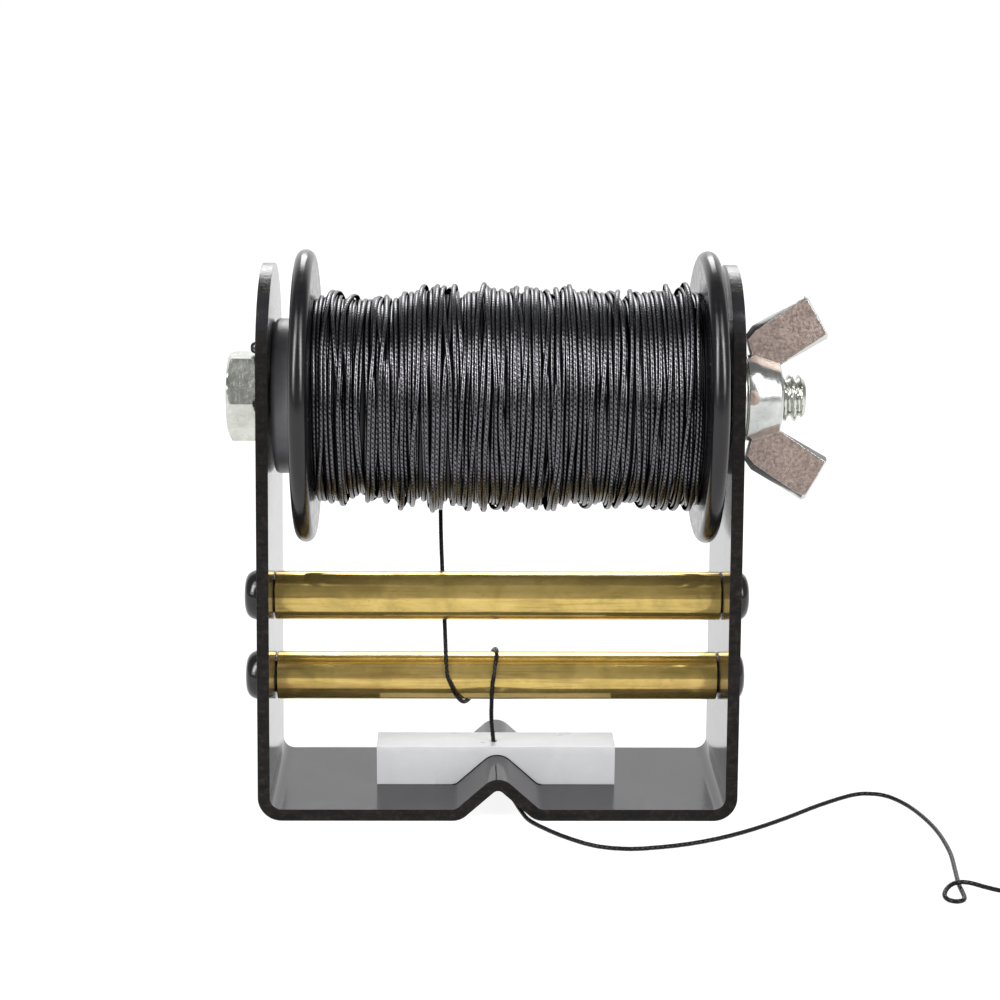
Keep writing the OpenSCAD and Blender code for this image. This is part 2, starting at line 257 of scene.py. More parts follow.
def brass_material():
    """drawn brass tube: lengthwise draw lines, brown tarnish, small dark specks, and painted shade on the tube's end
    faces
    """
    m = Mat("brass", base=(0.76, 0.58, 0.22), Metallic=0.8)
    c = m.coords()
    streak = m.noise(m.coords(38, 620, 620), 1.0, 5, 0.62, 0.2)
    long_streak = m.noise(m.coords(14, 330, 330), 1.0, 4, 0.6, 0.3)
    cloud = m.noise(c, 170, 6, 0.7, 0.5)
    speck = m.noise(c, 2100, 3, 0.6)
    line = m.noise(m.coords(110, 3400, 3400), 1.0, 3, 0.7)
    col = m.ramp(cloud, [(0.30, (0.40, 0.295, 0.088)), (0.50, (0.56, 0.41, 0.125)), (0.72, (0.67, 0.495, 0.18))])
    col = m.mix(m.remap(streak, 0.54, 0.70, 0, 0.8), col, (0.30, 0.185, 0.055))
    col = m.mix(m.remap(long_streak, 0.60, 0.72, 0, 0.5), col, (0.50, 0.25, 0.09))
    col = m.mix(m.remap(line, 0.55, 0.72, 0, 0.55), col, (0.26, 0.175, 0.06))
    col = m.mix(m.remap(speck, 0.68, 0.75, 0, 0.9), col, (0.10, 0.066, 0.03))
    # painted shade: faces that point along the axis, the tube's end chamfers, are coloured near black-brown
    col = m.mix(m.remap(face_axis(m, "X"), 0.25, 0.6, 0, 1), col, (0.03, 0.02, 0.01))
    m.color(col)
    m.rough(m.remap(m.math("MULTIPLY", m.math("ADD", streak, m.noise(c, 1300, 5, 0.7)), 0.5), 0.32, 0.66, 0.07, 0.2))
    m.bump(m.math("ADD", m.math("MULTIPLY", streak, 0.9), m.math("ADD", m.math("MULTIPLY", m.noise(c, 1300, 4, 0.6), 0.14), m.math("MULTIPLY", line, 0.35))), 0.16, 0.00007)
    return m.m


def nylon_color(m, col, top_shade):
    """painted shade: faces that point up, the top, are coloured a little greyer"""
    m.color(m.mix(top_shade, col, m.mix(1.0, col, (0.62, 0.62, 0.635), "MULTIPLY")))


def nylon_material():
    """milky nylon: cloudy inside, softly wavy skin"""
    m = Mat("nylon", base=(0.6, 0.6, 0.6), IOR=1.5)
    m.p.inputs["Subsurface Weight"].default_value = 0.5
    m.p.inputs["Subsurface Radius"].default_value = (1.0, 0.95, 0.9)
    m.p.inputs["Subsurface Scale"].default_value = 0.0012
    c = m.coords()
    cloud = m.noise(c, 230, 5, 0.62, 0.8)
    # painted shade on the top: the mask below greys the faces that point up
    nylon_color(m, m.ramp(cloud, [(0.28, (0.485, 0.487, 0.497)), (0.55, (0.515, 0.518, 0.528)), (0.8, (0.545, 0.549, 0.56))]), m.remap(face_axis(m, "Z"), 0.75, 0.97, 0, 0.5))
    m.p.inputs["Specular IOR Level"].default_value = 0.38
    m.rough(m.remap(m.noise(c, 140, 2, 0.4, 0.6), 0.3, 0.7, 0.27, 0.38))
    up = m.remap(face_axis(m, "Z"), 0.7, 0.95, 0.25, 1)
    wavy = m.noise(m.coords(170, 330, 330), 1.0, 3, 0.5, 1.2)
    nick = m.noise(c, 1500, 5, 0.7)
    m.bump(m.math("ADD", m.math("MULTIPLY", wavy, m.math("MULTIPLY", up, 0.5)), m.math("MULTIPLY", nick, 0.02)), 0.2, 0.00012)
    return m.m


def thread_material(name, wound):
    """waxed black braid. U runs along the thread in mm and V once round it, from the side that faces out. Its valleys
    are coloured darker than its crests as painted shade, and wound strands get painted shade down their sides, between
    their neighbours."""
    m = Mat(name, base=(0.03, 0.03, 0.032), IOR=1.78 if wound else 1.6)
    uv = m.node("ShaderNodeUVMap", uv_map="UVMap")
    s = m.node("ShaderNodeSeparateXYZ")
    m.link(uv.outputs[0], s.inputs[0])
    a = m.math("DIVIDE", s.outputs["X"], LAY)
    b = m.math("MULTIPLY", s.outputs["Y"], 3.0)
    p, q = m.math("ADD", a, b), m.math("SUBTRACT", a, b)
    over = m.math("MODULO", m.math("ADD", m.math("ADD", m.math("FLOOR", p), m.math("FLOOR", q)), 40000), 2.0)
    hp = m.math("SINE", m.math("MULTIPLY", m.math("FRACT", p), math.pi))
    hq = m.math("SINE", m.math("MULTIPLY", m.math("FRACT", q), math.pi))
    o = m.node("ShaderNodeMix", data_type="FLOAT")
    m.link(over, o.inputs[0])
    m.link(hp, o.inputs[2])
    m.link(hq, o.inputs[3])
    braid = o.outputs[0]
    c = m.coords()
    fibre = m.noise(c, 5200, 4, 0.7)
    patch = m.noise(c, 330, 4, 0.6)
    wax = m.noise(c, 900, 4, 0.65)
    # painted shade: the braid's valleys are coloured darker than its crests
    col = m.ramp(braid, [(0.25, (0.001, 0.001, 0.0012)), (0.75, (0.004, 0.0038, 0.005)), (1.0, (0.009, 0.0087, 0.011))] if wound else [(0.25, (0.001, 0.001, 0.001)), (1.0, (0.009, 0.009, 0.0095))])
    col = m.mix(m.remap(patch, 0.35, 0.7, 0, 0.6), col, m.mix(1.0, col, (0.62, 0.62, 0.64), "MULTIPLY"))
    col = m.mix(m.remap(fibre, 0.62, 0.78, 0, 0.45 if wound else 0.2), col, (0.085, 0.084, 0.094))
    m.p.inputs["Specular IOR Level"].default_value = 0.4 if wound else 0.16
    m.p.inputs["Specular Tint"].default_value = (0.94, 0.92, 1.0, 1.0)
    gloss = m.remap(braid, 0.25, 0.75, 0.0, 1.0)
    if wound:
        # painted shade: the wound strand's sides, down between its neighbours, are coloured near black and lose their
        # gloss
        out = m.math("COSINE", m.math("MULTIPLY", s.outputs["Y"], 2 * math.pi))
        unshaded_crown = m.remap(out, 0.3, 0.9, 0.0, 1.0)
        col = m.mix(unshaded_crown, (0.001, 0.001, 0.001), col)
        fleck = m.remap(m.noise(c, 3000, 4, 0.75), 0.36, 0.62, 0.55, 1.15)
        gloss = m.math("MULTIPLY", m.math("MULTIPLY", gloss, fleck), unshaded_crown)
        m.link(gloss, m.p.inputs["Specular IOR Level"])
    m.color(col)
    m.rough(m.remap(wax, 0.3, 0.7, 0.15, 0.27))
    h = m.math("ADD", braid, m.math("MULTIPLY", fibre, 0.2))
    m.bump(h, 0.3 if wound else 0.9, 0.00005)
    return m.m


LAY = 0.7  # length of one turn of the braid's plait, mm
PAINT = paint_material()
EDGE = edge_material("sheared_edge", 0.12, 0.3, 0.55, 0.6)
RIM = edge_material("sheared_rim", 0.9, 0.04, 0.16, 0.9)
FLANGE = satin_material("flange_plastic", (0.0035, 0.0032, 0.0042), 0.21, ior=1.48, bumpy=0.3)
SPACER = satin_material("spacer_plastic", (0.205, 0.202, 0.222), 0.32)
BARREL = satin_material("barrel_plastic", (0.016, 0.016, 0.017), 0.4)
ZINC = zinc_material("zinc_plate", (0.62, 0.63, 0.585), (0.36, 0.37, 0.335), 0.1, 0.34, 0.5)
CAST = zinc_material("zinc_cast", (0.61, 0.62, 0.605), (0.40, 0.41, 0.395), 0.1, 0.28, 0.4)
SCREW = zinc_material("screw_steel", (0.42, 0.42, 0.41), (0.28, 0.275, 0.27), 0.2, 0.4, 0.2)
def wing_face_material():
    """the wings' flat faces: grainy and dull, with a warm pinkish colour that is a painted reflection"""
    m = Mat("wing_face_painted_reflection", base=(0.42, 0.35, 0.32), Metallic=1.0)
    c = m.coords()
    grain = m.noise(c, 2300, 4, 0.65)
    cloud = m.noise(c, 300, 5, 0.65, 0.5)
    # painted reflection: the warm pinkish colours stand in for what the flat wing faces reflect
    col = m.ramp(cloud, [(0.3, (0.30, 0.235, 0.205)), (0.7, (0.43, 0.335, 0.292))])
    m.color(m.mix(m.remap(grain, 0.4, 0.7, 0, 0.5), col, (0.57, 0.48, 0.44)))
    m.rough(m.remap(grain, 0.3, 0.7, 0.26, 0.46))
    m.bump(m.math("ADD", grain, m.math("MULTIPLY", cloud, 0.8)), 0.7, 0.00006)
    return m.m


WING_FACE_TINTED = wing_face_material()
OXIDE = oxide_material()
BRASS = brass_material()
NYLON = nylon_material()
THREAD = thread_material("thread", False)
WOUND = thread_material("wound_thread", True)


# ---------------------------------------------------------------- mesh helpers
def put(name, me, mat, body, nodes=(), sharp=32):
    o = bpy.data.objects.new(name, me)
    scene.collection.objects.link(o)
    me.materials.clear()
    me.materials.append(mat)
    if sharp is not None:
        me.shade_smooth()
        me.set_sharp_from_angle(angle=math.radians(sharp))
    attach(o, body)
    if nodes:
        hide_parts(*nodes)
    return o


def fillet(points):
    """closed outline of (x, r, radius of the corner) to plain points"""
    out = []
    n = len(points)
    for i in range(n):
        p = np.array(points[i][:2], float)
        rad = points[i][2] if len(points[i]) > 2 else 0
        a = np.array(points[i - 1][:2], float) - p
        b = np.array(points[(i + 1) % n][:2], float) - p
        la, lb = np.linalg.norm(a), np.linalg.norm(b)
        if rad <= 0 or la < 1e-9 or lb < 1e-9:
            out.append(p)
            continue
        a, b = a / la, b / lb
        ang = math.acos(max(-1, min(1, float(a @ b))))
        if ang > math.pi - 0.02:
            out.append(p)
            continue
        cut = min(rad / math.tan(ang / 2), 0.48 * la, 0.48 * lb)
        rad = cut * math.tan(ang / 2)
        c = p + (a + b) / np.linalg.norm(a + b) * rad / math.sin(ang / 2)
        s, e = p + a * cut - c, p + b * cut - c
        sweep = math.pi - ang
        k = max(2, int(math.degrees(sweep) / 11) + 1)
        for j in range(k + 1):
            t = j / k
            out.append(c + (math.sin((1 - t) * sweep) * s + math.sin(t * sweep) * e) / math.sin(sweep))
    return out


def lathe(name, outline, z, y, mat, body, nodes, segs=128, sharp=32, closed=True):
    """turned piece about an axis along X. outline: (x, r) in mm, a closed loop,
    or an open line from axis to axis"""
    pts = [(float(p[0]), max(0.0, float(p[1]))) for p in outline]
    bm = bmesh.new()
    rings = []
    for x, r in pts:
        if r < 1e-6:
            rings.append([bm.verts.new((x * MM, y * MM, z * MM))])
        else:
            rings.append([bm.verts.new((x * MM, (y + r * math.cos(2 * math.pi * k / segs)) * MM,
                                        (z + r * math.sin(2 * math.pi * k / segs)) * MM)) for k in range(segs)])
    pairs = list(zip(rings, rings[1:])) + ([(rings[-1], rings[0])] if closed else [])
    for a, b in pairs:
        if len(a) == 1 and len(b) == 1:
            continue
        for k in range(segs):
            k2 = (k + 1) % segs
            if len(a) == 1:
                bm.faces.new((a[0], b[k2], b[k]))
            elif len(b) == 1:
                bm.faces.new((a[k], a[k2], b[0]))
            else:
                bm.faces.new((a[k], a[k2], b[k2], b[k]))
    bmesh.ops.recalc_face_normals(bm, faces=bm.faces)
    me = bpy.data.meshes.new(name)
    bm.to_mesh(me)
    bm.free()
    return put(name, me, mat, body, nodes, sharp)


def apply_modifiers(o):
    deps = bpy.context.evaluated_depsgraph_get()
    deps.update()
    me = bpy.data.meshes.new_from_object(o.evaluated_get(deps), depsgraph=deps)
    old = o.data
    o.modifiers.clear()
    o.data = me
    bpy.data.meshes.remove(old)
    return o


def from_cad(node, name, dissolve=0.3):
    """welded copy of a CAD node's mesh, with its flat faces joined up"""
    bm = bmesh.new()
    bm.from_mesh(N[node].data)
    bmesh.ops.remove_doubles(bm, verts=bm.verts, dist=3e-6)
    bmesh.ops.recalc_face_normals(bm, faces=bm.faces)
    if dissolve:
        bmesh.ops.dissolve_limit(bm, angle_limit=math.radians(dissolve), verts=bm.verts, edges=bm.edges)
    me = bpy.data.meshes.new(name)
    bm.to_mesh(me)
    bm.free()
    return me


def softened(node, name, mat, body, width, segs=2, angle=30, edge=None):
    """CAD shape with its sharp edges broken by a small bevel. edge: (direction, how nearly a face points along it,
    material) for faces given another material"""
    me = from_cad(node, name)
    me.shade_smooth()
    o = bpy.data.objects.new(name, me)
    scene.collection.objects.link(o)
    bv = o.modifiers.new("bevel", "BEVEL")
    bv.width = width * MM
    bv.segments = segs
    bv.limit_method = "ANGLE"
    bv.angle_limit = math.radians(angle)
    bv.miter_outer = "MITER_ARC"
    wn = o.modifiers.new("normals", "WEIGHTED_NORMAL")
    wn.mode = "FACE_AREA"
    wn.weight = 60
    apply_modifiers(o)
    me = o.data
    bpy.data.objects.remove(o)
    o = put(name, me, mat, body, (node,), None)
    if edge is not None:
        way, near, finish = Vector(edge[0]).normalized(), edge[1], edge[2]
        me.materials.append(finish)
        for p in me.polygons:
            if abs(p.normal.dot(way)) > near:
                p.material_index = 1
    return o


# ---------------------------------------------------------------- thread tubes
def catmull(points, step):
    p = [np.array(q, float) for q in points]
    out = []
    for i in range(len(p) - 1):
        a, b, c, d = p[max(i - 1, 0)], p[i], p[i + 1], p[min(i + 2, len(p) - 1)]
        n = max(1, int(math.ceil(np.linalg.norm(c - b) / step)))
        for k in range(n):
            t = k / n
            out.append(0.5 * (2 * b + (c - a) * t + (2 * a - 5 * b + 4 * c - d) * t * t + (3 * b - a - 3 * c + d) * t ** 3))
    out.append(p[-1])
    return np.array(out)


def even(line, step):
    """the same line with points a step apart"""
    d = np.r_[0, np.cumsum(np.linalg.norm(np.diff(line, axis=0), axis=1))]
    n = int(round(d[-1] / step))
    s = np.linspace(0, d[-1], n + 1)
    return np.stack([np.interp(s, d, line[:, k]) for k in range(3)], 1)


def soft_line(line, width, passes=3):
    """rounds off small kinks, ends held"""
    k = max(1, int(width))
    out = line.copy()
    for _ in range(passes):
        pad = np.concatenate([2 * out[:1] - out[1:k + 1][::-1], out, 2 * out[-1:] - out[-k - 1:-1][::-1]])
        ker = np.ones(2 * k + 1) / (2 * k + 1)
        out = np.stack([np.convolve(pad[:, i], ker, "valid") for i in range(3)], 1)
    return out


def tube_mesh(name, line, radius, sides, up=None, relief=0.0, flat=1.0, lay=0.42):
    """closed tube along a line in mm. up: one direction for each point that the
    section's first axis is kept near. relief: depth of the plaited surface."""
    n = len(line)
    t = np.gradient(line, axis=0)
    t /= np.linalg.norm(t, axis=1)[:, None]
    if up is None:
        ups = np.zeros_like(line)
        u = np.cross(t[0], (0.64, 0.29, 0.71))
        for i in range(n):
            u = u - t[i] * (u @ t[i])
            u /= np.linalg.norm(u)
            ups[i] = u
    else:
        ups = up - t * np.sum(up * t, 1)[:, None]
        ups /= np.linalg.norm(ups, axis=1)[:, None]
    w = np.cross(t, ups)
    s = np.r_[0, np.cumsum(np.linalg.norm(np.diff(line, axis=0), axis=1))]
    phi = 2 * math.pi * np.arange(sides) / sides
    r = np.full((n, sides), float(radius))
    if relief:
        a = s[:, None] / lay
        b = 3 * np.arange(sides)[None, :] / sides
        p, q = a + b, a - b
        over = (np.floor(p) + np.floor(q)) % 2
        h = np.where(over < 0.5, np.sin(math.pi * (p % 1)), np.sin(math.pi * (q % 1)))
        r = r - relief * (1 - h)
    co = (line[:, None, :] + (r * np.cos(phi))[:, :, None] * flat * ups[:, None, :]
          + (r * np.sin(phi))[:, :, None] / flat ** 0.5 * w[:, None, :])
    verts = np.concatenate([co.reshape(-1, 3), line[:1], line[-1:]]) * MM
    i = np.arange(n - 1)[:, None]
    k = np.arange(sides)[None, :]
    k2 = (k + 1) % sides
    quads = np.stack([i * sides + k, i * sides + k2, (i + 1) * sides + k2, (i + 1) * sides + k], -1).reshape(-1, 4)
    c0, c1 = n * sides, n * sides + 1
    kk = np.arange(sides)
    kk2 = (kk + 1) % sides
    cap0 = np.stack([np.full(sides, c0), kk2, kk], -1)
    cap1 = np.stack([np.full(sides, c1), (n - 1) * sides + kk, (n - 1) * sides + kk2], -1)
    me = bpy.data.meshes.new(name)
    nq, nt = len(quads), 2 * sides
    me.vertices.add(len(verts))
    me.vertices.foreach_set("co", verts.ravel())
    loops = np.concatenate([quads.ravel(), cap0.ravel(), cap1.ravel()])
    me.loops.add(len(loops))
    me.loops.foreach_set("vertex_index", loops.astype(np.int32))
    me.polygons.add(nq + nt)
    starts = np.concatenate([np.arange(nq) * 4, nq * 4 + np.arange(nt) * 3])
    me.polygons.foreach_set("loop_start", starts.astype(np.int32))
    uv = me.uv_layers.new(name="UVMap")
    su = s
    quv = np.zeros((n - 1, sides, 4, 2))
    quv[:, :, 0, 0] = su[:-1, None]
    quv[:, :, 1, 0] = su[:-1, None]
    quv[:, :, 2, 0] = su[1:, None]
    quv[:, :, 3, 0] = su[1:, None]
    v0 = (np.arange(sides) / sides)[None, :]
    v1 = ((np.arange(sides) + 1) / sides)[None, :]
    quv[:, :, 0, 1] = v0
    quv[:, :, 1, 1] = v1
    quv[:, :, 2, 1] = v1
    quv[:, :, 3, 1] = v0
    capuv = np.zeros((nt * 3, 2))
    capuv[sides * 3:, 0] = su[-1]
    uv.data.foreach_set("uv", np.concatenate([quv.ravel(), capuv.ravel()]))
    me.update(calc_edges=True)
    me.validate()
    return me


THREAD_R = 0.3

# the free end of the thread, where its CAD solid lies
EXIT = (-0.4, -0.6, 5)
tail_route = [
    EXIT, (-0.4, -0.7, 4.2), (-0.2, -1.3, 3.3), (0.4, -2.7, 2.5), (1.3, -4.9, 1.7), (2.3, -7.6, 1), (3.2, -10.4, 0.5),
    (4.1, -13.1, 0.32), (5.8, -15.8, 0.32), (8.6, -19.2, 0.32), (12.4, -22.4, 0.32), (16.6, -23.5, 0.32), (20.8, -22.9, 0.32),
    (25, -21.6, 0.32), (29.4, -19.4, 0.32), (34, -16.2, 0.32), (38.8, -12.1, 0.32), (43.8, -7.4, 0.32),
    (48.7, -3.6, 0.32), (51.4, -2.9, 0.32), (53.9, -4.1, 0.32), (56.2, -8.6, 0.32), (57.8, -16, 0.32),
    (58.1, -24, 0.32), (57.5, -30.5, 0.32), (57, -35, 0.32), (56.9, -38, 0.32), (56.8, -39.6, 0.32),
    (56.4, -40.5, 0.32), (55.6, -40.8, 0.32), (54.8, -40.5, 0.34), (54.4, -39.7, 0.38), (54.5, -38.7, 0.5),
    (55.1, -37.5, 0.75), (56, -36.6, 0.95), (57.2, -36.2, 1), (58.6, -36.3, 0.8), (60.2, -36.8, 0.5),
    (62.2, -37.5, 0.33), (66, -38.2, 0.32), (70, -37.8, 0.32), (74, -36.8, 0.32)]
tail_line = soft_line(even(catmull(tail_route, 0.1), 0.1), 4, 2)
tail_line[0] = EXIT
tail = put("thread_free_end", tube_mesh("thread_free_end", tail_line, THREAD_R, 12, relief=0.035), THREAD,
           "frame", ("thread_tail",), 60)

# ---------------------------------------------------------------- the wound thread
rng = np.random.default_rng(20)
IN_L = span("left_flange")[0] + 2.45
IN_R = span("right_flange")[1] - 2.45
# outer radius of the winding over its length, on top and underneath
prof_x = [-24.4, -23.4, -21.6, -19.6, -17.4, -15.3, -13.2, -11.1, -9.0, -6.8, -4.7, -2.6, -0.5, 1.7, 3.8, 8.0, 12.3, 14.5, 18.7, 23.0, 25.2, 26.35]
prof_top = [12.9, 13.6, 13.8, 13.4, 13.3, 13.2, 13.9, 14.5, 14.7, 14.6, 13.9, 14.7, 14.7, 14.4, 14.7, 14.3, 14.5, 14.0, 14.1, 14.5, 14.8, 13.8]
prof_bot = [13.5, 14.1, 14.7, 13.9, 13.7, 14.3, 14.5, 14.3, 14.8, 15.0, 14.5, 15.2, 15.0, 15.0, 14.8, 15.0, 14.2, 14.8, 14.5, 14.7, 15.2, 14.0]
BINS = 120
theta = 2 * math.pi * np.arange(BINS) / BINS
GX = np.arange(IN_L - 1, IN_R + 1, 0.04)
WIDE, TALL = 0.31, 0.27  # half width and half height of a wound strand


def smooth_noise(t, freq, seed):
    """value noise along t, about -1 to 1"""
    r = np.random.default_rng(seed)
    g = r.uniform(-1, 1, int(t.max() * freq) + 4)
    u = t * freq
    i = np.floor(u).astype(int)
    f = u - i
    f = f * f * (3 - 2 * f)
    return g[i] * (1 - f) + g[i + 1] * f


def wind_layer(height, pitch, direction, wander, seed, strays=0):
    """lays one layer of thread on what is already there. height[bin, x] is how far
    from the axis the middle of a new strand comes to lie. Returns x, r and angle."""
    lo, hi = IN_L + 0.36, IN_R - 0.36
    turns = int((hi - lo) / pitch)
    t = np.arange(turns * BINS + 1) / BINS
    x = lo + (hi - lo) * t / t[-1]
    for amp, freq, k in wander:
        x = x + amp * smooth_noise(t, freq, seed + k)
    # a few places where the thread strays across its neighbours and comes back
    r = np.random.default_rng(seed + 77)
    for _ in range(strays):
        at, wide, amp = r.uniform(1, turns - 1), r.uniform(0.06, 0.3), r.uniform(-1, 1)
        x = x + math.copysign(0.4 + 1.2 * abs(amp), amp) * np.exp(-((t - at) / wide) ** 2)
    x = np.clip(x, lo, hi)
    if direction < 0:
        x = x[::-1].copy()
    rad = np.zeros_like(x)
    b = np.arange(BINS)
    tries = np.linspace(-0.3, 0.3, 17)
    for k in range(turns):
        sl = slice(k * BINS, (k + 1) * BINS)
        xs = x[sl]
        # the strand slips sideways into the nearest groove
        cost = np.stack([height[b, np.clip(((xs + d - GX[0]) / 0.04).astype(int), 0, len(GX) - 1)] + 1.1 * d * d for d in tries])
        w = np.exp(-(cost - cost.min(0)) / 0.03)
        slip = (w * tries[:, None]).sum(0) / w.sum(0)
        ext = np.concatenate([slip[-5:], slip, slip[:5]])
        slip = np.convolve(ext, np.ones(11) / 11, "valid")
        xs = np.clip(xs + slip, lo, hi)
        x[sl] = xs
        gi = np.clip(((xs - GX[0]) / 0.04).astype(int), 0, len(GX) - 1)
        rr = height[b, gi]
        ext = np.concatenate([rr[-3:], rr, rr[:3]])
        top = np.maximum.reduce([ext[i:i + BINS] for i in range(1, 6)])
        ext = np.concatenate([top[-3:], top, top[:3]])
        sm = sum(ext[i:i + BINS] * w for i, w in zip(range(7), (0.05, 0.12, 0.2, 0.26, 0.2, 0.12, 0.05)))
        rr = np.maximum(rr - 0.05, sm - 0.04)
        rad[sl] = rr
        for off in range(-14, 15):
            g = np.clip(gi + off, 0, len(GX) - 1)
            dx = (GX[g] - xs) / (2 * WIDE * 0.84)
            lift = np.sqrt(np.maximum(0, 1 - dx * dx)) * 2 * TALL
            ok = np.abs(dx) < 1
            height[b[ok], g[ok]] = np.maximum(height[b[ok], g[ok]], rr[ok] + lift[ok])
    rad[-1] = rad[-2]
    x[-1] = x[-2]
    for v in (x, rad):
        pad = np.r_[v[:4][::-1], v, v[-4:][::-1]]
        v[:] = np.convolve(pad, (0.04, 0.09, 0.14, 0.15, 0.16, 0.15, 0.14, 0.09, 0.04), "valid")
    ang = 2 * math.pi * t
    return x, rad, ang


LAYERS = [
    (0.60, 1, [(0.05, 0.5, 1)], 3, 0),
    (0.62, -1, [(0.20, 0.45, 2), (0.12, 1.1, 3), (0.05, 2.3, 4)], 11, 20),
    (0.655, 1, [(0.28, 0.4, 5), (0.20, 0.9, 6), (0.10, 2.1, 7)], 25, 60),
    (1.9, -1, [(1.1, 0.7, 8), (0.6, 1.9, 9)], 40, 12),
]


def profile_at(x, ang):
    top_r = np.interp(x, prof_x, prof_top)
    bot_r = np.interp(x, prof_x, prof_bot)
    s = 0.5 + 0.5 * np.sin(ang)
    return bot_r + (top_r - bot_r) * s


target = profile_at(GX[None, :], theta[:, None])
core = target - 2.35
for round_ in range(3):
    height = core + TALL
    laid = []
    for pitch, direction, wander, seed, squeeze in LAYERS:
        laid.append(wind_layer(height, pitch, direction, wander, seed, squeeze))
    skin = height - TALL
    near = (GX > IN_L + 0.5) & (GX < IN_R - 0.5)
    err = (target - skin)[:, near].mean(0)
    # mean over the turn, blurred over 1.6 mm
    err = np.convolve(np.pad(err, 20, mode="edge"), np.ones(41) / 41, "valid")
    core[:, near] += err[None, :]
    core[:, ~near] = np.interp(GX[~near], GX[near], core[0, near])[None, :]

for i, (x, rad, ang) in enumerate(laid[1:]):
    sides = 8
    pts = np.stack([x, rad * np.cos(ang), rad * np.sin(ang)], 1)
    ups = np.stack([np.zeros_like(ang), np.cos(ang), np.sin(ang)], 1)
    pts[:, 2] += AXLE_Z
    me = tube_mesh(f"wound_layer_{i + 1}", pts, WIDE, sides, up=ups, flat=TALL / WIDE * 1.0)
    put(f"wound_layer_{i + 1}", me, WOUND, "spool", ("thread_winding",) if i == 0 else (), 80)

core_line = [(IN_L + 0.02, 8.0)] + [(float(a), float(b)) for a, b in zip(GX[near][::12], (core.mean(0)[near] + 0.35)[::12])] + [(IN_R - 0.02, 8.0)]
core_line.insert(1, (IN_L + 0.02, core_line[1][1]))
core_line.insert(-1, (IN_R - 0.02, core_line[-2][1]))
lathe("wound_core", core_line, AXLE_Z, 0, BARREL, "spool", (), segs=96, sharp=50)

# thread from the spool, behind the upper roller, round the lower one, into the pad
wrap_r = ROLLER_R + THREAD_R + 0.06
wrap = [(155, -6.9), (180, -6.4), (205, -5.8), (230, -5.1), (250, -4.6), (270, -4.1), (295, -3.4), (320, -2.7), (345, -2),
        (370, -1.4), (395, -0.8), (420, -0.4), (450, -0.1), (475, -0.1), (500, -0.3), (525, -0.5), (551, -0.7)]
feed_route = [(-8.2 + 0.05 * k, 15.02 * math.cos(math.radians(a)), AXLE_Z + 15.02 * math.sin(math.radians(a)))
              for k, a in enumerate((20, 8, -4, -16))]
feed_route += [(-8, 13.7, 49), (-7.9, 10, 41.9), (-7.8, 6.4, 35.2), (-7.5, 3.1, 28.7), (-7.2, 0.4, 23.2)]
feed_route += [(x, LOWER_Y + wrap_r * math.cos(math.radians(a)), LOWER_Z + wrap_r * math.sin(math.radians(a))) for a, x in wrap]
feed_route += [(-0.8, -1.7, 11), (-0.53, -0.8, 7.7), (-0.42, -0.63, 6.5), EXIT]
feed_line = soft_line(even(catmull(feed_route, 0.1), 0.1), 4, 2)
put("thread_run", tube_mesh("thread_run", feed_line, THREAD_R, 12, relief=0.035), THREAD, "frame", ("thread_feed",), 60)

# ---------------------------------------------------------------- spool
h = 1.225
for node, s in (("left_flange", 1), ("right_flange", -1)):
    a, b = span(node)
    c = a + h if s > 0 else b - h
    line = [(-h, 3.2), (-h, FLANGE_R - h - 0.15)]
    line += [(-h * math.cos(math.radians(v)), FLANGE_R - h + h * math.sin(math.radians(v))) for v in range(0, 181, 6)]
    line += [(h, FLANGE_R - h - 0.15), (h, 6.5), (h + 4, 6.5), (h + 4, 3.2)]
    lathe(node + "_turned", [(c + s * x, r) for x, r in line], AXLE_Z, 0, FLANGE, "spool", (node,), segs=192, sharp=40)
a, b = span("spool_barrel")
lathe("spool_tube", fillet([(a, 6.54), (a, 8, 0.1), (b, 8, 0.1), (b, 6.54)]), AXLE_Z, 0, BARREL, "spool", ("spool_barrel",), segs=96)

# ---------------------------------------------------------------- rollers and their riveted axles
for node, y, z in (("upper_roller", UPPER_Y, UPPER_Z), ("lower_roller", LOWER_Y, LOWER_Z)):
    a, b = span(node)
    line = fillet([(a, 2.45, 0.05), (a, ROLLER_R, 0.12), (b, ROLLER_R, 0.12), (b, 2.45, 0.05)])
    o = lathe(node + "_tube", line, z, y, BRASS, node, (node,), segs=128)
    a, b = span(node + "_axle")
    ra, rb = (2.4, 2.2) if node == "upper_roller" else (2.55, 2.1)
    left = [(a, 0)] + [(a + ra * (1 - max(math.cos(math.radians(v)), 0) ** 0.8), 3.44 * math.sin(math.radians(v)) ** 0.45) for v in (0.5, 1.5, *range(3, 90, 4))]
    left += [(a + ra - 0.02, 3.44), (a + ra, 3.4), (a + ra, 2.38)]
    right = [(b - rb, 2.38), (b - rb, 3.35), (b - rb + 0.02, 3.39)]
    right += [(b - rb * (1 - max(math.cos(math.radians(v)), 0) ** 0.8), 3.39 * math.sin(math.radians(v)) ** 0.5) for v in (*range(87, 0, -4), 1.5, 0.5)] + [(b, 0)]
    lathe(node + "_rivet", left + right, z, y, OXIDE, "frame", (node + "_axle",), segs=96, sharp=35, closed=False)

